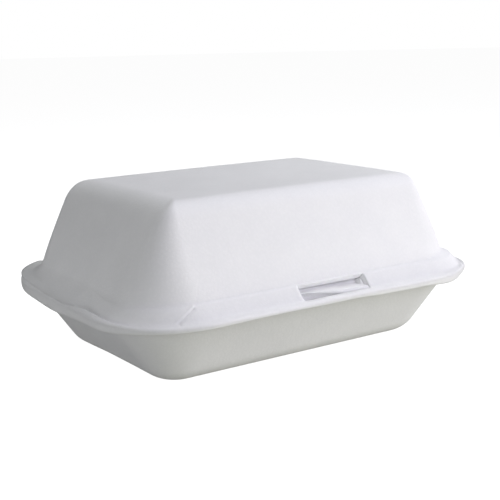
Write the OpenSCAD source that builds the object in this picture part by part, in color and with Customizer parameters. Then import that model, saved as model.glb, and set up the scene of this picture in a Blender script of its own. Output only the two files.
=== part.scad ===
// Foam clamshell food box: a tray and a domed lid folded along one thin hinge strip.
// Millimetres, Z up, table at Z = 0, latch side facing -Y, drawn shut.

/* [Overall] */
// Length over the rims
box_l = 185; // [150:1:240]
// Width over the rims
box_w = 138; // [115:1:190]
// Height when shut
box_h = 73.5; // [58:0.5:100]
// Height of the face where the two rims meet
split_h = 30.6; // [24:0.1:40]
// Corner radius of the rims, seen from above
rim_r = 38; // [35:0.5:50]

/* [Foam] */
// Thickness of the foam walls
foam_t = 2; // [1.5:0.1:3]
// Thickness of each pressed rim
rim_t = 1.4; // [1:0.1:2]
// Rounding of the rim edges
rim_edge = 0.5; // [0.2:0.1:0.9]
// Radius where a wall turns into its rim
wall_bend = 3; // [1:0.1:4]

/* [Base] */
// Width of the rim outside the base wall
base_rim_w = 6.9; // [5:0.1:9]
// How far the base wall stands in from the rim edge at the table
base_foot_in = 27; // [16:0.5:29]
// Outside radius between base floor and wall
base_fillet = 16; // [4:0.5:18]

/* [Lid] */
// Width of the rim outside the lid wall
lid_rim_w = 8; // [6:0.25:10]
// How far the lid wall stands in from the rim edge at the top
lid_top_in = 25; // [14:0.5:27]
// Outside radius between lid top and wall
lid_fillet = 10; // [4:0.5:14]
// How much tighter the lid's corners are than the rim's
lid_square = 5.8; // [0:0.1:7]

/* [Shoulder] */
// Height of the front shoulder above the lid rim
shoulder_h = 5.3; // [4.5:0.1:8]
// How far the shoulder stands forward of the lid wall
shoulder_out = 3.7; // [2.5:0.1:5]
// How far the shoulder stands out at its two ends
shoulder_side = 1.8; // [1:0.1:3]
// How much wider than the corner the curve is that carries each end back into the wall
shoulder_sweep = 50; // [35:1:100]
// Width of the gentle ridge where the shoulder leaves the wall
ridge_w = 1.6; // [0.8:0.1:2.5]
// Fall of that ridge
ridge_drop = 0.6; // [0.3:0.1:1.2]

/* [Latch] */
// How far the latch sits to the right of the middle
latch_x = 3.2; // [-10:0.1:10]
// Length of the slot in the shoulder
slot_l = 34; // [20:1:60]
// Strip of shoulder left in front of the slot
slot_strip = 0.7; // [0.3:0.1:1.2]
// How far the slot cuts back into the ridge
slot_back = 1.1; // [0:0.1:1.3]
// Free space in front of and behind the tongue
latch_gap = 0.4; // [0.2:0.1:0.8]
// Free space at each end of the tongue
tongue_end = 1.5; // [1:0.5:8]
// Height of the tongue above the base rim
tongue_h = 3.9; // [2.5:0.1:5]
// Thickness of the tongue
tongue_t = 1.1; // [0.8:0.1:1.5]

/* [Hinge] */
// How far the hinge strip stops short of the ends of the fold
hinge_short = 5; // [2:0.5:30]
// Thickness of the hinge strip
hinge_t = 0.7; // [0.4:0.1:0.9]

/* [Hidden] */
$fn = 48;
steps = 6;
over = 1;
axis_x = box_l / 2 - rim_r;
axis_y = box_w / 2 - rim_r;
hinge_y = box_w / 2 - rim_t;
fold_l = 2 * (axis_x + sqrt(rim_r * rim_r - (rim_r - rim_t) * (rim_r - rim_t)));
hinge_l = fold_l - 2 * hinge_short;
rim_round = min(rim_edge, 0.45 * rim_t);
base_rim_z = split_h - rim_t;
base_foot_r = rim_r - base_foot_in;
base_slope = (base_foot_in - base_rim_w) / base_rim_z;
base_wall_x = foam_t * sqrt(1 + base_slope * base_slope);
base_round = min(base_fillet, 0.9 * base_foot_r * tan(45 + atan(base_slope) / 2));
lid_rim_z = split_h + rim_t;
lid_foot_r = rim_r - lid_rim_w;
lid_top_r = rim_r - lid_top_in;
lid_slope = (lid_top_in - lid_rim_w) / (box_h - lid_rim_z);
lid_wall_x = foam_t * sqrt(1 + lid_slope * lid_slope);
lid_out = min(lid_square, lid_top_r / 2);
dome_foot_r = lid_foot_r - lid_out;
dome_top_r = lid_top_r - lid_out;
lid_round = min(lid_fillet, 0.9 * dome_top_r * tan(45 + atan(lid_slope) / 2));
shoulder_x = axis_x + shoulder_side;
shoulder_y = axis_y + shoulder_out;
shoulder_foot_r = lid_foot_r;
shoulder_top_r = lid_foot_r - lid_slope * shoulder_h - shoulder_out;
shoulder_top_z = lid_rim_z + shoulder_h;
shoulder_core_r = shoulder_top_r / 2;
shoulder_fade = acos(1 - (shoulder_side + 2 * foam_t) / (shoulder_sweep + shoulder_core_r));
ridge_r = shoulder_top_r + ridge_w;
ridge_z = shoulder_top_z - ridge_drop;
shoulder_slope = (shoulder_foot_r - ridge_r) / (ridge_z - lid_rim_z);
shoulder_wall_x = foam_t * sqrt(1 + shoulder_slope * shoulder_slope);
roof_z = ridge_z - foam_t;
roof_r = ridge_r + shoulder_slope * foam_t - shoulder_wall_x;
slot_front = lid_rim_w - shoulder_out + slot_strip;
slot_w = rim_r - shoulder_out - ridge_r - slot_front + min(slot_back, 0.8 * ridge_w);
tongue_y = -box_w / 2 + slot_front + latch_gap;
tongue_w = slot_w - 2 * latch_gap;
tongue_l = slot_l - 2 * tongue_end;
tongue_top = split_h + tongue_h;
tongue_root = rim_t / 4;
tongue_bow = 0.85 * (tongue_w - tongue_t);
tongue_bow_r = (tongue_l * tongue_l / 4 + tongue_bow * tongue_bow) / (2 * tongue_bow);

function unit(v) = v / norm(v);
function xy(p) = [p[0], p[1]];
function turn(a) = (a + 540) % 360 - 180;

// Arc of radius r that replaces the corner b between a and c
function bend(a, b, c, r) =
    let (u = unit(a - b))
    let (v = unit(c - b))
    let (half = acos(u * v) / 2)
    let (mid = b + unit(u + v) * r / sin(half))
    let (p = b + u * r / tan(half) - mid)
    let (q = b + v * r / tan(half) - mid)
    let (from = atan2(p[1], p[0]))
    let (sweep = turn(atan2(q[1], q[0]) - from))
    [for (i = [0 : steps]) mid + r * [cos(from + sweep * i / steps), sin(from + sweep * i / steps)]];

// Outline with each corner [x, y, radius] rounded by its own radius
function soften(pts) =
    let (n = len(pts))
    [for (i = [0 : n - 1])
        let (p = pts[i])
        let (a = xy(pts[(i + n - 1) % n]))
        let (c = xy(pts[(i + 1) % n]))
        each p[2] > 0 ? bend(a, xy(p), c, p[2]) : [xy(p)]];

function base_wall(z) = base_foot_r + base_slope * z;
function lid_wall(z) = lid_foot_r - lid_slope * (z - lid_rim_z);

// Half section of the solid base form, measured from the corner axis
base_form_pts = soften([
    [0, 0, 0],
    [base_foot_r, 0, base_round],
    [base_wall(base_rim_z), base_rim_z, wall_bend],
    [rim_r, base_rim_z, rim_round],
    [rim_r, split_h, rim_round],
    [0, split_h, 0]
]);

// Half section of the space inside the base
base_hollow_pts = soften([
    [0, foam_t, 0],
    [base_wall(foam_t) - base_wall_x, foam_t, base_round - foam_t],
    [base_wall(split_h + over) - base_wall_x, split_h + over, 0],
    [0, split_h + over, 0]
]);

// Half section of the lid's rim
lid_rim_pts = soften([
    [0, split_h, 0],
    [rim_r, split_h, rim_round],
    [rim_r, lid_rim_z, rim_round],
    [0, lid_rim_z, 0]
]);

// Half section of the solid dome, measured from its own corner axis
dome_form_pts = soften([
    [0, split_h + rim_t / 2, 0],
    [dome_foot_r + wall_bend, split_h + rim_t / 2, 0],
    [dome_foot_r + wall_bend, lid_rim_z, 0],
    [dome_foot_r, lid_rim_z, wall_bend],
    [dome_top_r, box_h, lid_round],
    [0, box_h, 0]
]);

// Half section of the space inside the dome
dome_hollow_pts = soften([
    [0, split_h - over, 0],
    [lid_wall(split_h - over) - lid_wall_x - lid_out, split_h - over, 0],
    [lid_wall(box_h - foam_t) - lid_wall_x - lid_out, box_h - foam_t, lid_round - foam_t],
    [0, box_h - foam_t, 0]
]);

// Half section of the front shoulder, and of the space inside it
shoulder_form_pts = [
    [shoulder_core_r, split_h + rim_t / 2],
    [shoulder_foot_r + shoulder_slope * rim_t / 2, split_h + rim_t / 2],
    [ridge_r, ridge_z],
    [shoulder_top_r, shoulder_top_z],
    [shoulder_core_r, shoulder_top_z]
];
shoulder_hollow_pts = [
    [shoulder_core_r, split_h - over],
    [shoulder_foot_r - shoulder_wall_x, split_h - over],
    [shoulder_foot_r - shoulder_wall_x, lid_rim_z],
    [roof_r, roof_z],
    [shoulder_core_r, roof_z]
];

// Carries a half section round the rounded rectangle whose corner axes stand out by the given amount
module round_all(out) {
    ax = axis_x + out;
    ay = axis_y + out;
    for (c = [[1, 1, 0], [-1, 1, 90], [-1, -1, 180], [1, -1, 270]])
        translate([c[0] * ax, c[1] * ay, 0])
            rotate([0, 0, c[2]])
                rotate_extrude(angle = 90)
                    children();
    for (a = [0, 180])
        rotate([0, 0, a])
            translate([ax, ay, 0])
                rotate([90, 0, 0])
                    linear_extrude(2 * ay)
                        children();
    for (a = [90, 270])
        rotate([0, 0, a])
            translate([ay, ax, 0])
                rotate([90, 0, 0])
                    linear_extrude(2 * ax)
                        children();
}

// Solid rounded form with its middle block, from z0 up to z1
module form(pts, z0, z1, out = 0) {
    round_all(out)
        polygon(pts);
    translate([-axis_x - out, -axis_y - out, z0])
        cube([2 * (axis_x + out), 2 * (axis_y + out), z1 - z0]);
}

// Front shoulder form: along the front, round both corners and back into the end walls
module shoulder(pts) {
    rotate([0, 0, 270])
        translate([shoulder_y, shoulder_x, 0])
            rotate([90, 0, 0])
                linear_extrude(2 * shoulder_x)
                    polygon(pts);
    for (side = [0, 1])
        mirror([side, 0, 0])
            translate([shoulder_x, -shoulder_y, 0]) {
                rotate([0, 0, -90])
                    rotate_extrude(angle = 90)
                        polygon(pts);
                translate([-shoulder_sweep, 0, 0])
                    rotate_extrude(angle = shoulder_fade)
                        translate([shoulder_sweep, 0])
                            polygon(pts);
            }
}

// Everything behind the fold line
module behind_fold() {
    translate([-box_l / 2, hinge_y, 0])
        cube([box_l, box_w, box_h]);
}

// Slot cut straight down through the shoulder
module slot() {
    translate([latch_x - slot_l / 2, -box_w / 2 + slot_front, split_h - over])
        cube([slot_l, slot_w, shoulder_h + rim_t + 2 * over]);
}

// Locking tongue: a rib rooted in the rim, with a bowed lip leaning forward
module tongue() {
    intersection() {
        translate([latch_x - tongue_l / 2, tongue_y, 0])
            rotate([90, 0, 90])
                linear_extrude(tongue_l)
                    polygon([
                        [0, base_rim_z + tongue_root],
                        [tongue_w, base_rim_z + tongue_root],
                        [tongue_w, tongue_top],
                        [tongue_w - tongue_t, tongue_top],
                        [0, tongue_top - tongue_t],
                        [0, tongue_top - 2 * tongue_t],
                        [tongue_w - tongue_t, tongue_top - 1.6 * tongue_t],
                        [tongue_w - tongue_t, split_h - tongue_root],
                        [0, split_h - tongue_root]
                    ]);
        translate([latch_x, tongue_y + tongue_bow_r, base_rim_z])
            cylinder(r = tongue_bow_r, h = box_h, $fn = 240);
    }
}

module base() {
    color("white") {
        difference() {
            form(base_form_pts, 0, split_h);
            form(base_hollow_pts, foam_t, split_h + over);
            behind_fold();
        }
        tongue();
    }
}

module lid() {
    color("white")
        difference() {
            union() {
                form(lid_rim_pts, split_h, lid_rim_z);
                form(dome_form_pts, split_h + rim_t / 2, box_h, lid_out);
                shoulder(shoulder_form_pts);
            }
            form(dome_hollow_pts, split_h - over, box_h - foam_t, lid_out);
            shoulder(shoulder_hollow_pts);
            slot();
            behind_fold();
        }
}

// Pressed strip that folds round from one rim to the other
module hinge() {
    color("white")
        translate([-hinge_l / 2, hinge_y, split_h])
            rotate([90, 0, 90])
                linear_extrude(hinge_l)
                    difference() {
                        circle(r = rim_t);
                        circle(r = rim_t - hinge_t);
                        translate([-2 * rim_t, -2 * rim_t])
                            square([2 * rim_t, 4 * rim_t]);
                    }
}

base();
lid();
hinge();
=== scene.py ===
"""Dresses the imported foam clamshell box: moulded foam shells, latch, fold strip, studio floor and camera."""

import math

import bmesh
import bpy
import numpy as np
from mathutils import Matrix, Vector


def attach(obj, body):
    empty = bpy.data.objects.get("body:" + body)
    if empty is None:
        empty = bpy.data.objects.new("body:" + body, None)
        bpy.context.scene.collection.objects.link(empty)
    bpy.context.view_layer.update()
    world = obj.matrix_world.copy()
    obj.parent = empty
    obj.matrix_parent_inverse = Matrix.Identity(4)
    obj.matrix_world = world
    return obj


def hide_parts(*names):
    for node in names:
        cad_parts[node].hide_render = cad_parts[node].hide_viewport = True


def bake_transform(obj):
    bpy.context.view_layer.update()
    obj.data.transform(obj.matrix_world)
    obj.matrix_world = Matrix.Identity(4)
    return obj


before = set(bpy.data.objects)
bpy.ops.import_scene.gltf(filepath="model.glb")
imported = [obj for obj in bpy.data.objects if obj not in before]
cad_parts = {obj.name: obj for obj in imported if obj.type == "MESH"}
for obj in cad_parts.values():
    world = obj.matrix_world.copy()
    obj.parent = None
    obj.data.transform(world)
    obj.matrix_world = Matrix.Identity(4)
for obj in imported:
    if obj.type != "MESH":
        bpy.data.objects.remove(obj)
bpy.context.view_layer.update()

MM = 0.001

# Sizes in millimetres, the same as in the part's source
AXIS_X, AXIS_Y = 54.5, 31.0
RIM_R, RIM_T, SPLIT_H, FOLD_Y = 38.0, 1.4, 30.6, 67.6
BOX_H, FOAM_T = 73.5, 2.0
LID_FOOT_R, LID_SLOPE, LID_ROUND = 30.0, 17.0 / 41.5, 9.7
BASE_FOOT_R, BASE_SLOPE, BASE_ROUND = 11.0, 20.1 / 29.2, 16.0
SHOULDER_SIDE, SHOULDER_OUT, SHOULDER_SLOPE = 1.8, 3.7, 0.908
SHOULDER_SWEEP_R = 80.0
RIDGE_R, RIDGE_Z, RIDGE_FALL = 25.73, 36.8, 1.6 / 0.6
LID_RIM_Z, BASE_RIM_Z = SPLIT_H + RIM_T, SPLIT_H - RIM_T
LATCH_X, SLOT_L = 3.2, 34.0
SLOT_X0, SLOT_X1 = LATCH_X - SLOT_L / 2, LATCH_X + SLOT_L / 2
HINGE_L, HINGE_T = 119.4, 0.7
# Half the gap between the shut rims, the round of their edges and that of their parting corners
SEAM, RIM_EDGE, RIM_CORNER = 0.006, 1.2, 0.04

# What this one box has beyond the part's source, in millimetres
RIGHT_SHOULDER_WIDER = 3.2
NEAR_LEFT_LOWER = 0.8
LEFT_TOP_ROUNDER, RIGHT_TOP_TIGHTER = 4.5, 2.5
FAR_FOOT_TIGHTER, FAR_FOOT_OUT = 3.6, 0.9
LEFT_RIM_SHORTER, RIGHT_RIM_LONGER = 0.8, 1.0
CORNER_TIGHTER, CORNER_RISE = 8.6, 8.5
END_STEP, END_LEAN, TOP_CROWN = 1.15, 2.6, 0.5
SLOT_SLANT = 1.1
# Stands for a shoulder that is sunk in the wall, so that none shows
NO_SHOULDER = -8.0


def smooth_max(a, b, k):
    return 0.5 * (a + b + np.sqrt((a - b) ** 2 + k * k))


def smooth_min(a, b, k):
    return 0.5 * (a + b - np.sqrt((a - b) ** 2 + k * k))


def smooth_step(x, a, b):
    t = np.clip((x - a) / (b - a), 0.0, 1.0)
    return t * t * (3.0 - 2.0 * t)


def bump(x, mid, width):
    return np.exp(-(((x - mid) / width) ** 2))


def arc(r, z, radius, a0, a1, n):
    """Points on an arc about (r, z), from a0 to a1 in degrees."""
    a = np.radians(np.linspace(a0, a1, n))
    return [(r + radius * math.cos(t), z + radius * math.sin(t)) for t in a]


# Sections round the box


def run_x():
    """Places of the sections along the front and the back, closer together at the slot's ends."""
    steps = (-3, -2.4, -1.8, -1.3, -0.95, -0.8, -0.62, -0.45, -0.3, -0.17, -0.07, 0, 0.25, 0.6, 1.1)
    near = [SLOT_X0 + o for o in steps] + [SLOT_X1 - o for o in steps]
    keep = [x for x in np.linspace(-AXIS_X, AXIS_X, 74) if min(abs(x - SLOT_X0), abs(x - SLOT_X1)) > 3.4]
    return np.array(sorted([*keep, *near]))


XS = run_x()
YS = np.linspace(-AXIS_Y, AXIS_Y, 42)


def corner_rows(side_x, side_y, start, turns, fine):
    """Sections of one corner: the walls' extra straight ends, which tight corners leave, and the arc between them."""
    cx, cy = side_x * AXIS_X, side_y * AXIS_Y
    ends = np.linspace(0, 1, fine + 2)[1:-1]
    along_x = start in (90.0, 270.0)
    first = [(cx, cy, start, side_x * f * along_x, side_y * f * (not along_x), 0.0) for f in ends]
    arc_rows = [(cx, cy, a, side_x, side_y, 1.0) for a in np.linspace(start, start + 90.0, turns)]
    last = [(cx, cy, start + 90.0, side_x * f * (not along_x), side_y * f * along_x, 0.0) for f in ends[::-1]]
    return first + arc_rows + last


def sections():
    """Rows of corner axis, outward angle, and how the axis and the radius answer to tighter corners."""
    rows = [(x, -AXIS_Y, 270.0, 0, 0, 0) for x in XS]
    rows += corner_rows(1, -1, 270.0, 40, 3)
    rows += [(AXIS_X, y, 360.0, 0, 0, 0) for y in YS]
    rows += corner_rows(1, 1, 0.0, 40, 3)
    rows += [(x, AXIS_Y, 90.0, 0, 0, 0) for x in XS[::-1]]
    rows += corner_rows(-1, 1, 90.0, 40, 3)
    rows += [(-AXIS_X, y, 180.0, 0, 0, 0) for y in YS[::-1]]
    rows += corner_rows(-1, -1, 180.0, 104, 18)
    return np.array(rows, float)


SEC = sections()
CENTRE, SHIFT, TIGHT = SEC[:, :2], SEC[:, 3:5], SEC[:, 5]
OUT = np.stack([np.cos(np.radians(SEC[:, 2])), np.sin(np.radians(SEC[:, 2]))], 1)
OUT[np.abs(OUT) < 1e-9] = 0.0
N = len(SEC)
ON_FRONT = (SEC[:, 2] == 270.0) & (SHIFT[:, 0] == 0) & (TIGHT == 0)


def shoulder_offset():
    """How far the shoulder stands out at each section."""
    side = SHOULDER_SIDE + np.where(OUT[:, 0] > 0, RIGHT_SHOULDER_WIDER, 0.0)
    front = side * np.abs(OUT[:, 0]) + SHOULDER_OUT * np.maximum(-OUT[:, 1], 0)
    back = side - (CENTRE[:, 1] + AXIS_Y) ** 2 / (2 * SHOULDER_SWEEP_R)
    off = np.where(CENTRE[:, 1] < -AXIS_Y + 0.01, front, back)
    off = np.where(OUT[:, 1] > 0.01, NO_SHOULDER, off)
    return np.maximum(off, NO_SHOULDER)


OFF = shoulder_offset()
# 1 along the front, 0 along the ends and the back, and between them round the front corners
FRONTAL = smooth_step(-OUT[:, 1], 0.25, 0.95)
# 1 where the shoulder is, 0 where the lid wall runs straight into the rim
BANDED = smooth_step(OFF, -1.5, 1.6) * (0.95 + 0.05 * FRONTAL)
# The ridge runs lower round the near left corner
NEAR_LEFT = smooth_step(-OUT[:, 0], 0.1, 0.6) * smooth_step(-CENTRE[:, 1], 5.0, 31.0)
RIDGE_AT = RIDGE_Z - NEAR_LEFT_LOWER * NEAR_LEFT
# The lid's top edge is rounder at its left end and tighter at its right
LID_TURN = LID_ROUND + LEFT_TOP_ROUNDER * np.maximum(-OUT[:, 0], 0) ** 2
LID_TURN -= RIGHT_TOP_TIGHTER * np.maximum(OUT[:, 0], 0) ** 2
# The tray's lower edge is tighter at its far left
FAR_LEFT = smooth_step(-OUT[:, 0], 0.2, 0.9) * smooth_step(CENTRE[:, 1], -AXIS_Y, AXIS_Y)
BASE_TURN = BASE_ROUND - FAR_FOOT_TIGHTER * FAR_LEFT
# The rims end flat at the fold along the back, and are uneven at the left end and the near right corner
RIM = np.minimum(RIM_R, np.where(OUT[:, 1] > 0.5, (FOLD_Y - AXIS_Y) / np.maximum(OUT[:, 1], 0.5), RIM_R))
RIM -= LEFT_RIM_SHORTER * smooth_step(-OUT[:, 0], 0.6, 1.0)
RIM += RIGHT_RIM_LONGER * smooth_step(OUT[:, 0], 0.55, 0.8) * smooth_step(-OUT[:, 1], 0.2, 0.5)
RIM_X, RIM_Y = (CENTRE + OUT * RIM_R).T
FRONT_RIM = smooth_step(-RIM_Y, 45, 66)
CLEAR_OF_FOLD = smooth_step(-RIM_Y, -63.0, -50.0)


def spot(x, y, size_x, size_y):
    """A soft rise on the rims about one place."""
    return np.exp(-(((RIM_X - x) / size_x) ** 2) - ((RIM_Y - y) / size_y) ** 2)


def rim_wave():
    """Slow rise and fall of the line where the rims meet."""
    wave = 0.16 * np.sin(RIM_X / 11.0 + 0.6) * FRONT_RIM + 0.12 * np.sin(RIM_X / 23.0)
    wave += 0.1 * np.sin(RIM_Y / 14.0 + 1.0) * (1 - FRONT_RIM)
    wave -= 0.85 * spot(-78.0, -58.0, 24.0, 26.0)
    return wave * CLEAR_OF_FOLD


WAVE = rim_wave()
LEFT, RIGHT = smooth_step(-RIM_X, 50, 76), smooth_step(RIM_X, 58, 88)
# How much thicker the rims are than in the part's source, above and below the line where they meet
LID_THICK = 2.5 * LEFT * smooth_step(RIM_Y, 5, 50) * smooth_step(-RIM_Y, -68.5, -64.0)
BASE_THICK = (1.9 - 0.5 * smooth_step(RIM_Y, 0, 40)) * LEFT * smooth_step(RIM_Y, -64, -36) * CLEAR_OF_FOLD
BASE_THICK += 2.0 * RIGHT * smooth_step(RIM_Y, -62, -40) * CLEAR_OF_FOLD
BASE_THICK += 1.9 * LEFT * bump(RIM_Y, 8.0, 26.0)
BASE_THICK += 1.1 * spot(66.0, -65.0, 11.0, 12.0)
BASE_THICK += (0.7 * smooth_step(RIM_X, 8, 26) - 0.65 * bump(RIM_X, -26.0, 17.0)) * FRONT_RIM


def square(r, z):
    """How far the lid's corners are tightened at each row: little at the rim, most in the upper wall."""
    most = CORNER_TIGHTER * (1.0 - np.exp(-np.maximum(z - LID_RIM_Z, 0.0) / CORNER_RISE))
    return np.maximum(smooth_min(most, 0.72 * r, 0.8), 0.0) * (z > LID_RIM_Z + 1e-6)


def lid_wall(z):
    """Outside radius of the lid's plain wall."""
    return LID_FOOT_R - LID_SLOPE * (z - LID_RIM_Z)


def lid_outside(z):
    """Outside radius of the lid at heights z, one row of them for each section, shoulder included."""
    slope = LID_FOOT_R - SHOULDER_SLOPE * (z - LID_RIM_Z)
    ridge = RIDGE_R - RIDGE_FALL * (z - RIDGE_AT[:, None])
    ridge_edge = 0.22 - 0.1 * NEAR_LEFT
    shoulder = smooth_min(slope, ridge, ridge_edge[:, None]) + OFF[:, None]
    # The bend under the wall widens where the shoulder dies out and round the near left corner
    bend = 0.24 + 2.5 * (1.0 - BANDED) + (1.2 + 1.3 * (1.0 - FRONTAL)) * NEAR_LEFT
    r = smooth_max(lid_wall(z), shoulder, bend[:, None])
    # Round foot where the wall meets the rim, tight under the shoulder
    turn = (7.5 - 6.8 * BANDED)[:, None]
    h = np.clip(z - LID_RIM_Z, 0, turn)
    return r + turn - np.sqrt(turn**2 - (turn - h) ** 2)


# The hollow under the shoulder: its widest radius, the height where it starts to close in, and its roof
HOLLOW_R, HOLLOW_Z, HOLLOW_SLOPE = 27.85, 32.3, 0.907
ROOF_R, ROOF_Z, ROOF_FALL, HOLLOW_EDGE = 25.4, 35.0, 8.0, 0.2


def lid_inside(z):
    """Inside radius of the lid at heights z, one row of them for each section."""
    z = z[None, :]
    wall = lid_wall(z) - FOAM_T * math.hypot(1, LID_SLOPE)
    hollow = HOLLOW_R - np.maximum(z - HOLLOW_Z, 0.0) * HOLLOW_SLOPE
    hollow = smooth_min(hollow, ROOF_R - (z - ROOF_Z) * ROOF_FALL, HOLLOW_EDGE) + OFF[:, None]
    return smooth_max(wall, hollow, HOLLOW_EDGE)


# Heights of the rows that the latch slot cuts, outside from its top down and inside from the rim up
OUT_SLOT_Z = np.array(
    [37.05, 36.97, 36.88, 36.78, 36.67, 36.54, 36.35, 36.05, 35.7, 35.35, 35.0]
    + [34.65, 34.3, 33.95, 33.6, 33.25, 32.95, 32.65, 32.4, 32.2, 32.07, 32.02, 32.0]
)
IN_SLOT_Z = np.concatenate([np.linspace(30.9, 34.5, 15), [34.75, 34.9, 35.02, 35.17]])
# Heights of the rows just over the ridge, and places of the rows across the underside of the lid's rim
NEAR_RIDGE_Z = np.array([38.1, 37.9, 37.72, 37.56, 37.42, 37.3, 37.18])
BOTTOM_T = np.array([0.0, 0.2, 0.38, 0.55, 0.7, 0.85, 1.0])
SLOT_BOTTOM, SLOT_DEPTH = 3, len(OUT_SLOT_Z) - 1


class Rows:
    """Radius and height of the rows of a closed section, one value for each section round the box."""

    def __init__(self):
        self.r, self.z = [], []

    def add(self, r, z):
        self.r.append(np.broadcast_to(np.asarray(r, float), (N,)))
        self.z.append(np.broadcast_to(np.asarray(z, float), (N,)))

    def __len__(self):
        return len(self.r)

    def grid(self):
        return np.stack(self.r, 1), np.stack(self.z, 1)


def lid_rows():
    """The lid's rows, with the first row that the slot cuts outside and inside, and the number of outside rows."""
    rows = Rows()
    wall_angle = math.degrees(math.atan(LID_SLOPE))
    mid_z = BOX_H - LID_TURN
    mid_r = lid_wall(mid_z) - LID_TURN * math.hypot(1, LID_SLOPE)
    for t in (0.0, 0.33, 0.67):
        rows.add(t * mid_r, BOX_H)
    for c, d in arc(0.0, 0.0, 1.0, 90, wall_angle, 17):
        rows.add(mid_r + LID_TURN * c, mid_z + LID_TURN * d)
    start = rows.z[-1]
    low = np.concatenate([np.linspace(46.0, 38.4, 18), NEAR_RIDGE_Z, OUT_SLOT_Z])
    high = [start + t * (46.5 - start) for t in np.linspace(0, 1, 14)[1:]]
    lower = NEAR_LEFT_LOWER * smooth_step(low, 33.2, 35.6) * smooth_step(-low, -42.0, -38.4)
    levels = np.concatenate([np.stack(high, 1), low - NEAR_LEFT[:, None] * lower], 1)
    outer = lid_outside(levels)
    first = len(rows)
    for k in range(levels.shape[1]):
        rows.add(outer[:, k], levels[:, k])
    slot_out = first + levels.shape[1] - len(OUT_SLOT_Z)
    foot = outer[:, -1]
    rim_fall, corner = 0.05, NEAR_LEFT * FRONTAL
    for t in np.linspace(0, 1, 11)[1:]:
        r = foot + t * (RIM - RIM_EDGE - foot)
        groove = -(0.26 + 0.4 * corner) * BANDED * bump(r - foot, 0.35, 0.7)
        bead = (0.22 + 0.3 * corner) * math.sin(math.pi * t) ** 2 * BANDED
        rows.add(r, LID_RIM_Z + groove + bead - rim_fall * t)
    for r, z in arc(-RIM_EDGE, LID_RIM_Z - rim_fall - RIM_EDGE, RIM_EDGE, 90, 0, 11)[1:]:
        rows.add(RIM + r, z)
    outside = len(rows)
    for r, z in arc(-RIM_CORNER, SPLIT_H + SEAM + RIM_CORNER, RIM_CORNER, 0, -90, 3):
        rows.add(RIM + r, z)
    rim_in = lid_inside(np.array([SPLIT_H]))[:, 0]
    edge = RIM - RIM_CORNER
    for t in BOTTOM_T[1:]:
        rows.add(edge + t * (rim_in - edge), SPLIT_H + SEAM)
    slot_in = len(rows) - len(BOTTOM_T) + SLOT_BOTTOM
    levels = np.concatenate([IN_SLOT_Z, [35.2, 35.35, 35.6, 36.0, 37.0], np.linspace(39.0, 62.0, 9)])
    inner = lid_inside(levels)
    for k, z in enumerate(levels):
        rows.add(inner[:, k], z)
    for c, d in arc(0.0, 0.0, 1.0, wall_angle, 90, 9):
        rows.add(mid_r + (LID_TURN - FOAM_T) * c, mid_z + (LID_TURN - FOAM_T) * d)
    for t in (0.67, 0.33, 0.0):
        rows.add(t * mid_r, BOX_H - FOAM_T)
    return (*rows.grid(), slot_out, slot_in, outside)


def base_wall(z):
    """Outside radius of the tray's wall."""
    return BASE_FOOT_R + BASE_SLOPE * z


def base_rows():
    """The tray's rows, and the number of those on the outside."""
    rows = Rows()
    wall_angle = -math.degrees(math.atan(BASE_SLOPE))
    mid_r = base_wall(BASE_TURN) - BASE_TURN * math.hypot(1, BASE_SLOPE)
    wall_x = FOAM_T * math.hypot(1, BASE_SLOPE)
    for t in (0.0, 0.5):
        rows.add(t * mid_r, 0.0)
    for c, d in arc(0.0, 0.0, 1.0, -90, wall_angle, 16):
        rows.add(mid_r + BASE_TURN * c, BASE_TURN * (1.0 + d))
    start = rows.z[-1]
    # The bend from the wall to the rim starts at turn_z and reaches out by span, both larger at the ends
    turn_z, span = 26.4 - 2.6 * OUT[:, 0] ** 2, 1.5 + 1.5 * OUT[:, 0] ** 2
    for t in np.linspace(0, 1, 12)[1:]:
        z = start + t * (turn_z - start)
        rows.add(base_wall(z), z)
    for t in np.linspace(0, math.pi / 2, 11)[1:]:
        z = turn_z + (BASE_RIM_Z - turn_z) * math.sin(t)
        rows.add(base_wall(z) + span * (1 - math.cos(t)), z)
    foot = rows.r[-1]
    for t in np.linspace(0, 1, 7)[1:]:
        rows.add(foot + t * (RIM - RIM_EDGE - foot), BASE_RIM_Z - 0.06 * math.sin(math.pi * t) ** 2)
    for r, z in arc(-RIM_EDGE, BASE_RIM_Z + RIM_EDGE, RIM_EDGE, -90, 0, 10)[1:]:
        rows.add(RIM + r, z)
    outside = len(rows)
    for r, z in arc(-RIM_CORNER, SPLIT_H - SEAM - RIM_CORNER, RIM_CORNER, 0, 90, 3):
        rows.add(RIM + r, z)
    edge = RIM - RIM_CORNER
    lip = base_wall(SPLIT_H) - wall_x
    for t in np.linspace(0, 1, 9)[1:]:
        rows.add(edge + t * (lip + 0.7 - edge), SPLIT_H - SEAM)
    rows.add(lip + 0.2, SPLIT_H - 0.2)
    rows.add(lip - 0.45, SPLIT_H - 0.75)
    for z in np.linspace(29.0, 9.0, 11):
        rows.add(base_wall(z) - wall_x, z)
    inner = BASE_TURN - FOAM_T
    for c, d in arc(0.0, 0.0, 1.0, wall_angle, -90, 11):
        rows.add(mid_r + inner * c, BASE_TURN + inner * d)
    for t in (0.5, 0.0):
        rows.add(t * mid_r, FOAM_T)
    return (*rows.grid(), outside)


# Crease in the near left corner of the lid, as (x, z): a fold down the wall, then a ridge across the shoulder
WALL_FOLD = [(-60.0, 44.6), (-61.0, 40.2), (-62.8, 37.0)]
RIDGE_FOLD = [(-63.3, 36.6), (-67.0, 34.4), (-70.8, 32.1)]


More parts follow.
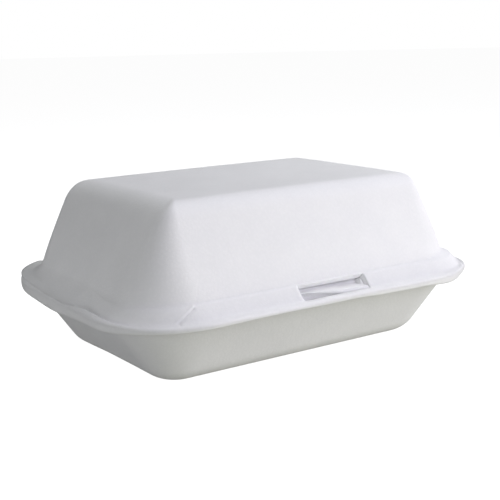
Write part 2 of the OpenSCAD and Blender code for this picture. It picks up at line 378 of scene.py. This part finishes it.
def fold_distance(line, x, z):
    """Signed distance from a folded line, positive on its right, and the place along it from 0 to 1."""
    best = np.full(x.shape, 1e9)
    side, place_on = np.zeros(x.shape), np.zeros(x.shape)
    count = len(line) - 1
    for k in range(count):
        (x0, z0), (x1, z1) = line[k], line[k + 1]
        dx, dz = x1 - x0, z1 - z0
        t = np.clip(((x - x0) * dx + (z - z0) * dz) / (dx * dx + dz * dz), 0, 1)
        d = np.hypot(x - x0 - t * dx, z - z0 - t * dz)
        near = d < best
        best = np.where(near, d, best)
        side = np.where(near, np.sign((z - z0) * dx - (x - x0) * dz), side)
        place_on = np.where(near, (k + t) / count, place_on)
    return best * side, place_on


def lid_dents(points):
    """Outward push in millimetres on the lid's outside: the corner crease and the lips of the slot."""
    x, y, z = points[..., 0], points[..., 1], points[..., 2]
    near = smooth_step(-y, 44.0, 50.0)
    d, t = fold_distance(WALL_FOLD, x, z)
    push = -0.11 * bump(d, 0.0, 0.4) * smooth_step(t, 0.0, 0.6)
    d, t = fold_distance(RIDGE_FOLD, x, z)
    fold = 0.3 * bump(d, -0.5, 0.42) - 0.6 * bump(d, 0.2, 0.42)
    push += fold * smooth_step(t, 0.0, 0.1) * smooth_step(-t, -1.0, -0.85)
    # Fine bead along the ridge round the near left corner
    side = NEAR_LEFT * smooth_step(OFF, -0.3, 1.0)
    push += 0.26 * bump(z, RIDGE_AT[:, None] + 0.1, 0.28) * side[:, None]
    # Swollen and rounded foam beside the slot
    front = np.broadcast_to(ON_FRONT[:, None], z.shape)
    lips = smooth_step(z, 31.9, 32.8) * smooth_step(-z, -37.3, -36.6)
    swell = 0.2 * bump(x, SLOT_X0 - 1.5, 0.9) + 0.12 * bump(x, SLOT_X1 + 1.2, 0.8)
    round_left, round_right = 0.85, 0.5
    in_left = np.clip(x - SLOT_X0 + round_left, 0.0, round_left)
    in_right = np.clip(SLOT_X1 + round_right - x, 0.0, round_right)
    drop_left = round_left - np.sqrt(round_left**2 - in_left**2)
    drop_right = round_right - np.sqrt(round_right**2 - in_right**2)
    drop = drop_left * (1.0 - smooth_step(x, SLOT_X0, SLOT_X0 + 1.5))
    drop += drop_right * smooth_step(x, SLOT_X1 - 1.5, SLOT_X1)
    return push * near + (swell - drop) * lips * front


def across(r, z):
    """Outward normal of each row in its own section, as (radial, up)."""
    dr = np.gradient(r, axis=1)
    dz = np.gradient(z, axis=1)
    n = np.hypot(dr, dz) + 1e-9
    return -dz / n, dr / n


def place(r, z, tight):
    """Points in millimetres for every section and row, with corners tightened by the given amount."""
    radius = r - TIGHT[:, None] * tight
    x = CENTRE[:, :1] + SHIFT[:, :1] * tight + radius * OUT[:, :1]
    y = CENTRE[:, 1:] + SHIFT[:, 1:] * tight + radius * OUT[:, 1:]
    return np.stack([x, y, z], 2)


def lift_rims(points, r, thick, outside):
    """Raises the points by the rims' slow wave, and the outside ones by the rims' extra thickness."""
    from_split = points[..., 2] - SPLIT_H
    reach = smooth_step(r, 29.0, 36.0) * smooth_step(-np.abs(from_split), -8.0, -1.4)
    rows = np.arange(r.shape[1]) < outside
    share = np.minimum(np.abs(from_split) / RIM_T, 1.0)
    points[..., 2] += reach * (WAVE[:, None] + thick[:, None] * share * rows)


def settle(points):
    """The lid's ends stand further in than its front and lean in more."""
    x, z = points[..., 0], points[..., 2]
    up = np.clip((z - LID_RIM_Z) / (BOX_H - LID_RIM_Z), 0.0, 1.0)
    ends = smooth_step(np.abs(x), 22.0, 56.0)
    points[..., 0] -= ends * np.sign(x) * (END_LEAN * up**0.7 + END_STEP * smooth_step(z, LID_RIM_Z, 38.0))


def crown(points):
    """Lets the lid's top swell a little between its corners."""
    x, y, z = points[..., 0], points[..., 1], points[..., 2]
    flat = 1.0 - np.minimum(1.0, (np.abs(x) / 72.0) ** 3 * (np.abs(y) / 48.0) ** 3)
    points[..., 2] += TOP_CROWN * flat * smooth_step(z, 62.0, 71.0)


# Meshes


def grid_mesh(points, skip=()):
    """Closed shell from the section grid and its two flat middles. skip holds (section, row) cells left open."""
    bm = bmesh.new()
    n, rows, _ = points.shape
    v = [[bm.verts.new(points[i, k] * MM) for k in range(rows)] for i in range(n)]
    skip = set(skip)
    for i in range(n):
        j = (i + 1) % n
        for k in range(rows - 1):
            if (i, k) not in skip:
                bm.faces.new((v[i][k], v[j][k], v[j][k + 1], v[i][k + 1]))
    return bm, v


def cap(bm, z, swell):
    """Flat middle of a shell at height z, with the lid's swell if it has one."""
    points = np.array([[(x, y, z) for y in YS] for x in XS])
    if swell:
        crown(points)
        settle(points)
    v = [[bm.verts.new(p * MM) for p in row] for row in points]
    for a in range(len(XS) - 1):
        for b in range(len(YS) - 1):
            bm.faces.new((v[a][b], v[a + 1][b], v[a + 1][b + 1], v[a][b + 1]))


def tube(bm, rows):
    """Closed tube through rings of the same number of points."""
    rings = [[bm.verts.new([c * MM for c in p]) for p in row] for row in rows]
    count = len(rings[0])
    for a, b in zip(rings, rings[1:]):
        for k in range(count):
            bm.faces.new((a[k], b[k], b[(k + 1) % count], a[(k + 1) % count]))
    bm.faces.new(rings[0])
    bm.faces.new(rings[-1][::-1])


def to_object(bm, name, material):
    """Smooth-shaded object from a mesh under construction, with doubled points merged."""
    bmesh.ops.remove_doubles(bm, verts=bm.verts[:], dist=1e-6)
    bmesh.ops.delete(bm, geom=[v for v in bm.verts if not v.link_faces], context="VERTS")
    bmesh.ops.recalc_face_normals(bm, faces=bm.faces[:])
    mesh = bpy.data.meshes.new(name)
    bm.to_mesh(mesh)
    bm.free()
    mesh.polygons.foreach_set("use_smooth", [True] * len(mesh.polygons))
    mesh.materials.append(material)
    obj = bpy.data.objects.new(name, mesh)
    bpy.context.scene.collection.objects.link(obj)
    return obj


def ramp(tree, source, low, high, to_low, to_high):
    """Map Range node from a socket's low to high onto to_low to to_high."""
    node = tree.nodes.new("ShaderNodeMapRange")
    node.interpolation_type = "SMOOTHSTEP"
    for name, value in (("From Min", low), ("From Max", high), ("To Min", to_low), ("To Max", to_high)):
        node.inputs[name].default_value = value
    tree.links.new(source, node.inputs["Value"])
    return node.outputs["Result"]


def combine(tree, operation, a, b):
    """Math node on two sockets."""
    node = tree.nodes.new("ShaderNodeMath")
    node.operation = operation
    tree.links.new(a, node.inputs[0])
    tree.links.new(b, node.inputs[1])
    return node.outputs["Value"]


def foam_material():
    """White foam sheet: closed cells under a thin skin, smoother where it is pressed."""
    mat = bpy.data.materials.new("foam")
    mat.use_nodes = True
    tree = mat.node_tree
    nodes, links = tree.nodes, tree.links
    shader = nodes["Principled BSDF"]
    place_in = nodes.new("ShaderNodeTexCoord").outputs["Object"]
    pressed = nodes.new("ShaderNodeAttribute")
    pressed.attribute_name = "pressed"
    pressed = pressed.outputs["Fac"]
    warp = nodes.new("ShaderNodeTexNoise")
    cells = nodes.new("ShaderNodeTexVoronoi")
    grain = nodes.new("ShaderNodeTexNoise")
    mottle = nodes.new("ShaderNodeTexNoise")
    cells.feature = "SMOOTH_F1"
    cells.inputs["Scale"].default_value = 820.0
    cells.inputs["Smoothness"].default_value = 0.5
    for node, scale, detail in ((warp, 300.0, 2.0), (grain, 2600.0, 3.0), (mottle, 75.0, 4.0)):
        node.inputs["Scale"].default_value = scale
        node.inputs["Detail"].default_value = detail
        links.new(place_in, node.inputs["Vector"])
    links.new(place_in, cells.inputs["Vector"])
    dome = ramp(tree, cells.outputs["Distance"], 0.1, 0.75, 1.0, 0.0)
    height = combine(tree, "ADD", dome, ramp(tree, grain.outputs["Fac"], 0.3, 0.7, 0.0, 0.7))
    height = combine(tree, "ADD", height, ramp(tree, warp.outputs["Fac"], 0.3, 0.7, 0.0, 0.45))
    bump_node = nodes.new("ShaderNodeBump")
    bump_node.inputs["Distance"].default_value = 0.00007
    links.new(ramp(tree, pressed, 0.0, 1.0, 0.34, 0.14), bump_node.inputs["Strength"])
    links.new(height, bump_node.inputs["Height"])
    links.new(bump_node.outputs["Normal"], shader.inputs["Normal"])
    cell_tone = ramp(tree, dome, 0.0, 1.0, 0.0, 0.4)
    tone = combine(tree, "ADD", cell_tone, ramp(tree, mottle.outputs["Fac"], 0.25, 0.75, 0.0, 0.6))
    tint = nodes.new("ShaderNodeMix")
    tint.data_type = "RGBA"
    tint.inputs["A"].default_value = (0.872, 0.874, 0.88, 1)
    tint.inputs["B"].default_value = (0.912, 0.912, 0.917, 1)
    links.new(tone, tint.inputs["Factor"])
    links.new(tint.outputs["Result"], shader.inputs["Base Color"])
    rough = ramp(tree, mottle.outputs["Fac"], 0.3, 0.7, 0.5, 0.6)
    rough = combine(tree, "ADD", rough, ramp(tree, pressed, 0.0, 1.0, 0.06, -0.08))
    links.new(rough, shader.inputs["Roughness"])
    shader.inputs["Specular IOR Level"].default_value = 0.35
    shader.inputs["Subsurface Weight"].default_value = 0.4
    shader.inputs["Subsurface Radius"].default_value = (1.0, 1.0, 1.0)
    shader.inputs["Subsurface Scale"].default_value = 0.002
    return mat


def mark_pressed(obj, low, high):
    """Vertex value that is 1 on the pressed rims, between the heights low and high and outside the walls."""
    mesh = obj.data
    co = np.empty(len(mesh.vertices) * 3, np.float32)
    mesh.vertices.foreach_get("co", co)
    x, y, z = (co.reshape(-1, 3) / MM).T
    reach = np.hypot(np.maximum(np.abs(x) - AXIS_X, 0), np.maximum(np.abs(y) - AXIS_Y, 0))
    value = smooth_step(reach, 29.5, 31.5) * smooth_step(z, low - 1.0, low) * smooth_step(-z, -high - 1.0, -high)
    layer = mesh.attributes.new("pressed", "FLOAT", "POINT")
    layer.data.foreach_set("value", value.astype(np.float32))


def build_lid(material):
    """The lid's shell, with the latch slot cut through it."""
    r, z, slot_out, slot_in, outside = lid_rows()
    tight = square(r, z)
    push = lid_dents(place(r, z, tight)) * (np.arange(r.shape[1]) < outside)
    radial, up = across(r, z)
    points = place(r + push * radial, z + push * up, tight)
    lift_rims(points, r, LID_THICK, outside)
    crown(points)
    settle(points)
    cells = [i for i in range(N) if ON_FRONT[i] and SLOT_X0 - 1e-6 <= CENTRE[i, 0] < SLOT_X1 - 1e-6]
    skip = [(i, slot + k) for slot in (slot_out, slot_in) for i in cells for k in range(SLOT_DEPTH)]
    bm, v = grid_mesh(points, skip)
    cap(bm, BOX_H, True)
    cap(bm, BOX_H - FOAM_T, True)
    i0, i1 = cells[0], cells[-1] + 1
    steps = range(SLOT_DEPTH)
    ring = [(i, 0) for i in range(i0, i1)] + [(i1, k) for k in steps]
    ring += [(i, SLOT_DEPTH) for i in range(i1, i0, -1)] + [(i0, SLOT_DEPTH - k) for k in steps]
    outer = [v[i][slot_out + k] for i, k in ring]
    inner = [v[i][slot_in + SLOT_DEPTH - k] for i, k in ring]
    # The slot's right wall slants in, and its cut faces keep support loops near their edges
    for k in range(SLOT_DEPTH + 1):
        v[i1][slot_in + k].co.x -= SLOT_SLANT * MM
    loops = [outer]
    for t in (0.1, 0.5, 0.9):
        loops.append([bm.verts.new(p.co.lerp(q.co, t)) for p, q in zip(outer, inner)])
    loops.append(inner)
    for a, b in zip(loops, loops[1:]):
        for k in range(len(ring)):
            j = (k + 1) % len(ring)
            bm.faces.new((a[k], a[j], b[j], b[k]))
    return to_object(bm, "lid_shell", material)


# The locking tongue stands in the slot: a plate under the slot's back edge, a shelf, and a lip that rolls forward
TONGUE_X0, TONGUE_X1, TONGUE_EAR, TONGUE_ROOT_Z, TONGUE_STEPS = -13.6, 19.0, 4.0, 29.9, 90
PLATE_Y, PLATE_BACK, PLATE_Z = -58.0, 1.1, 35.1
# The lip along the tongue, from its left end at 0 to its right at 1: its top, its underside and its tip
LIP_AT = (0.0, 0.1, 0.27, 0.39, 0.5, 0.62, 0.73, 0.85, 0.94, 1.0)
LIP_TOP = (33.6, 33.9, 33.9, 33.9, 33.85, 33.65, 33.55, 33.4, 33.1, 32.9)
LIP_LOW = (33.4, 33.7, 33.4, 32.9, 32.3, 31.95, 31.95, 31.95, 31.95, 31.95)
LIP_TIP = (-60.4, -61.2, -63.0, -64.2, -65.0, -65.35, -65.35, -65.35, -65.35, -65.3)


def tongue_section(t):
    """Closed outline in (y, z) of the tongue at t from 0, its left end, to 1."""
    top, low, tip = (float(np.interp(t, LIP_AT, row)) for row in (LIP_TOP, LIP_LOW, LIP_TIP))
    # The right end rises to close the slot, the shelf deepens to the right, and the plate stands back with it
    end, deep, rise = (float(smooth_step(t, a, b)) for a, b in ((0.94, 0.99), (0.1, 0.8), (0.78, 0.94)))
    out = -58.9 - tip
    crest = tip + min(0.9, 0.5 * out)
    shelf = top + 0.2 + 0.1 * deep
    plate = PLATE_Y + PLATE_BACK * deep * (1.0 - 0.6 * rise)
    upper = [(plate + 0.1, PLATE_Z + 0.04), (plate, PLATE_Z), (plate - 0.02, 34.85), (plate - 0.1, shelf + 0.8)]
    for k in np.linspace(0.0, 1.0, 12):
        y = plate - 0.35 + (crest - plate + 0.35) * k
        z = shelf + (top - shelf) * k**2.2 + 0.55 * (1.0 - k) ** 7 - 0.35 * deep * math.sin(math.pi * k**0.7)
        roof = min(PLATE_Z, 35.0 - (-60.1 - y) * 1.1)
        upper.append((y, z + end * max(roof - z, 0.0)))
    angles = np.linspace(0.25, 1.57, 7)
    roll = [(crest + (tip - crest) * math.sin(a), low + (top - low) * math.cos(a)) for a in angles]
    front = max(tip + min(0.7, 0.4 * out), -64.0)
    foot, heel = min(front, -61.5), max(front + 1.6, -60.3)
    return [
        (heel, TONGUE_ROOT_Z),
        (max(heel, plate - 0.4), 32.3),
        (plate + 0.7, 34.0),
        (plate + 0.8, 35.0),
        (plate + 0.7, PLATE_Z + 0.02),
        *upper,
        *roll,
        (tip + 0.15, low - 0.18),
        (tip + min(0.4, 0.3 * out), low - 0.3),
        (front, 31.2),
        (foot, 30.4),
        (foot, TONGUE_ROOT_Z),
    ]


def build_tongue(bm):
    """The locking tongue, added to the tray's mesh."""
    ts = np.sin(np.linspace(0, math.pi / 2, TONGUE_STEPS))
    # Its left end runs on behind the slot's edge, so that no hole shows beside it
    places = [(TONGUE_X0 - TONGUE_EAR * k, 0.0) for k in (1.0, 0.5)]
    places += [(TONGUE_X0 + (TONGUE_X1 - TONGUE_X0) * t, t) for t in ts]
    tube(bm, [[(x, y, z) for y, z in tongue_section(t)] for x, t in places])


def build_base(material):
    """The tray's shell, with the tongue on its rim."""
    r, z, outside = base_rows()
    points = place(r, z, np.zeros_like(r))
    # The far left foot stands a little further out
    x, y, z = points[..., 0], points[..., 1], points[..., 2]
    far_left = smooth_step(r, 1, 9) * smooth_step(-x, 40, 60) * smooth_step(y, 5, 32)
    points[..., 0] -= FAR_FOOT_OUT * far_left * smooth_step(-z, -27, -20)
    lift_rims(points, r, -BASE_THICK, outside)
    bm, _ = grid_mesh(points)
    cap(bm, 0.0, False)
    cap(bm, FOAM_T, False)
    build_tongue(bm)
    return to_object(bm, "tray_shell", material)


def build_strip(material):
    """The pressed strip that wraps the two rims along the back, with short tails lying on them."""
    tail, proud, pinch = 1.6, 0.03, 0.12

    def wrap(radius, start):
        """Tail, half turn and tail at one radius from the fold, from the angle start to its opposite."""
        rise = math.copysign(radius, start)
        first = [(FOLD_Y - tail, SPLIT_H + rise), (FOLD_Y - tail / 2, SPLIT_H + rise)]
        last = [(FOLD_Y - tail / 2, SPLIT_H - rise), (FOLD_Y - tail, SPLIT_H - rise)]
        return first + arc(FOLD_Y, SPLIT_H, radius, start, -start, 25) + last

    outer, inner = wrap(RIM_T + proud, -90), wrap(RIM_T - HINGE_T, 90)
    rows = []
    for x in np.linspace(-HINGE_L / 2, HINGE_L / 2, 81):
        dip = pinch + 0.05 * math.sin(x / 3.1) + 0.04 * math.sin(x / 1.7 + 1.0)
        ring = [(x, y - dip * max(0.0, 1 - abs(z - SPLIT_H) / RIM_T), z) for y, z in outer]
        rows.append(ring + [(x, y, z) for y, z in inner])
    bm = bmesh.new()
    tube(bm, rows)
    return to_object(bm, "fold_strip", material)


foam = foam_material()
lid = build_lid(foam)
tray = build_base(foam)
strip = build_strip(foam)
for piece in (lid, tray, strip):
    mark_pressed(piece, BASE_RIM_Z - 0.5, LID_RIM_Z + 0.5)
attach(lid, "lid")
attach(tray, "base")
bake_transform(strip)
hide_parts("lid")
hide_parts("base")
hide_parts("hinge")

# Camera at the photograph's viewing angle
AZIMUTH, ELEVATION, ROLL, DISTANCE, AIM_Z = -33.465, 12.504, -1.366, 457.045, 36.0
FOCAL_PX, CENTRE_PX, PICTURE_PX, SENSOR = 1002.27, (243.04, 258.48), 500.0, 36.0


def make_camera():
    """Camera of the photograph's angle, lens and frame."""
    data = bpy.data.cameras.new("camera")
    cam = bpy.data.objects.new("camera", data)
    bpy.context.scene.collection.objects.link(cam)
    az, el, roll = (math.radians(a) for a in (AZIMUTH, ELEVATION, ROLL))
    back = np.array([math.sin(az) * math.cos(el), -math.cos(az) * math.cos(el), math.sin(el)])
    right = np.array([math.cos(az), math.sin(az), 0.0])
    up = np.cross(back, right)
    right, up = math.cos(roll) * right + math.sin(roll) * up, -math.sin(roll) * right + math.cos(roll) * up
    where = (np.array([0, 0, AIM_Z]) + back * DISTANCE) * MM
    cam.matrix_world = Matrix(
        [
            [right[0], up[0], back[0], where[0]],
            [right[1], up[1], back[1], where[1]],
            [right[2], up[2], back[2], where[2]],
            [0, 0, 0, 1],
        ]
    )
    data.sensor_width = SENSOR
    data.lens = FOCAL_PX / PICTURE_PX * SENSOR
    data.shift_x = (PICTURE_PX / 2 - CENTRE_PX[0]) / PICTURE_PX
    data.shift_y = (CENTRE_PX[1] - PICTURE_PX / 2) / PICTURE_PX
    data.clip_start, data.clip_end = 0.01, 100.0
    bpy.context.scene.camera = cam


make_camera()


def make_floor():
    """Pale floor that the camera alone sees, bright enough to read as white with a faint contact shadow."""
    bm = bmesh.new()
    bmesh.ops.create_circle(bm, cap_ends=True, segments=96, radius=8.0)
    mesh = bpy.data.meshes.new("floor")
    bm.to_mesh(mesh)
    bm.free()
    floor = bpy.data.objects.new("floor", mesh)
    bpy.context.scene.collection.objects.link(floor)
    mat = bpy.data.materials.new("floor")
    mat.use_nodes = True
    shader = mat.node_tree.nodes["Principled BSDF"]
    shader.inputs["Base Color"].default_value = (0.5, 0.5, 0.5, 1)
    shader.inputs["Roughness"].default_value = 1.0
    shader.inputs["Specular IOR Level"].default_value = 0.0
    shader.inputs["Emission Color"].default_value = (1, 1, 1, 1)
    shader.inputs["Emission Strength"].default_value = 0.94
    mesh.materials.append(mat)
    floor.visible_diffuse = floor.visible_glossy = floor.visible_transmission = floor.visible_shadow = False


make_floor()


# Height in metres that the lights aim at, then each light's name, azimuth, elevation, distance, size, power and colour
LIGHT_AIM = 0.035
LIGHTS = (
    ("key", 37, 25, 1.1, 0.6, 7.2, (0.905, 0.878, 1.0)),
    ("above", 100, 65, 0.5, 0.3, 1.17, (0.98, 1.0, 1.0)),
    ("fill", -75, 5, 1.1, 0.6, 4.1, (0.98, 0.99, 1.0)),
    ("bounce", 20, -25, 0.7, 0.4, 1.0, (0.97, 1.0, 0.8)),
    ("bounce right", 40, -20, 0.7, 0.4, 1.2, (1.0, 0.98, 0.94)),
    ("left", -40, 45, 1.1, 0.6, 0.3, (0.85, 0.85, 1.0)),
)


def area_light(name, azimuth, elevation, distance, size, power, colour):
    """Soft square light aimed at the part, its direction given as for the camera."""
    data = bpy.data.lights.new(name, "AREA")
    data.energy, data.size, data.color = power, size, colour
    obj = bpy.data.objects.new(name, data)
    az, el = math.radians(azimuth), math.radians(elevation)
    back = Vector((math.sin(az) * math.cos(el), -math.cos(az) * math.cos(el), math.sin(el)))
    obj.location = Vector((0, 0, LIGHT_AIM)) + back * distance
    obj.rotation_euler = back.to_track_quat("Z", "Y").to_euler()
    obj.visible_camera = False
    bpy.context.scene.collection.objects.link(obj)


for light in LIGHTS:
    area_light(*light)


def make_world(strength):
    """Even studio light all round; the camera sees plain white beyond the floor."""
    world = bpy.data.worlds.new("studio")
    bpy.context.scene.world = world
    world.use_nodes = True
    nodes, links = world.node_tree.nodes, world.node_tree.links
    even = nodes["Background"]
    even.inputs["Color"].default_value = (1, 1, 1, 1)
    even.inputs["Strength"].default_value = strength
    seen = nodes.new("ShaderNodeBackground")
    seen.inputs["Color"].default_value = (1, 1, 1, 1)
    mix = nodes.new("ShaderNodeMixShader")
    links.new(nodes.new("ShaderNodeLightPath").outputs["Is Camera Ray"], mix.inputs["Fac"])
    links.new(even.outputs["Background"], mix.inputs[1])
    links.new(seen.outputs["Background"], mix.inputs[2])
    links.new(mix.outputs["Shader"], nodes["World Output"].inputs["Surface"])


make_world(0.07)
bpy.context.scene.view_settings.view_transform = "Standard"
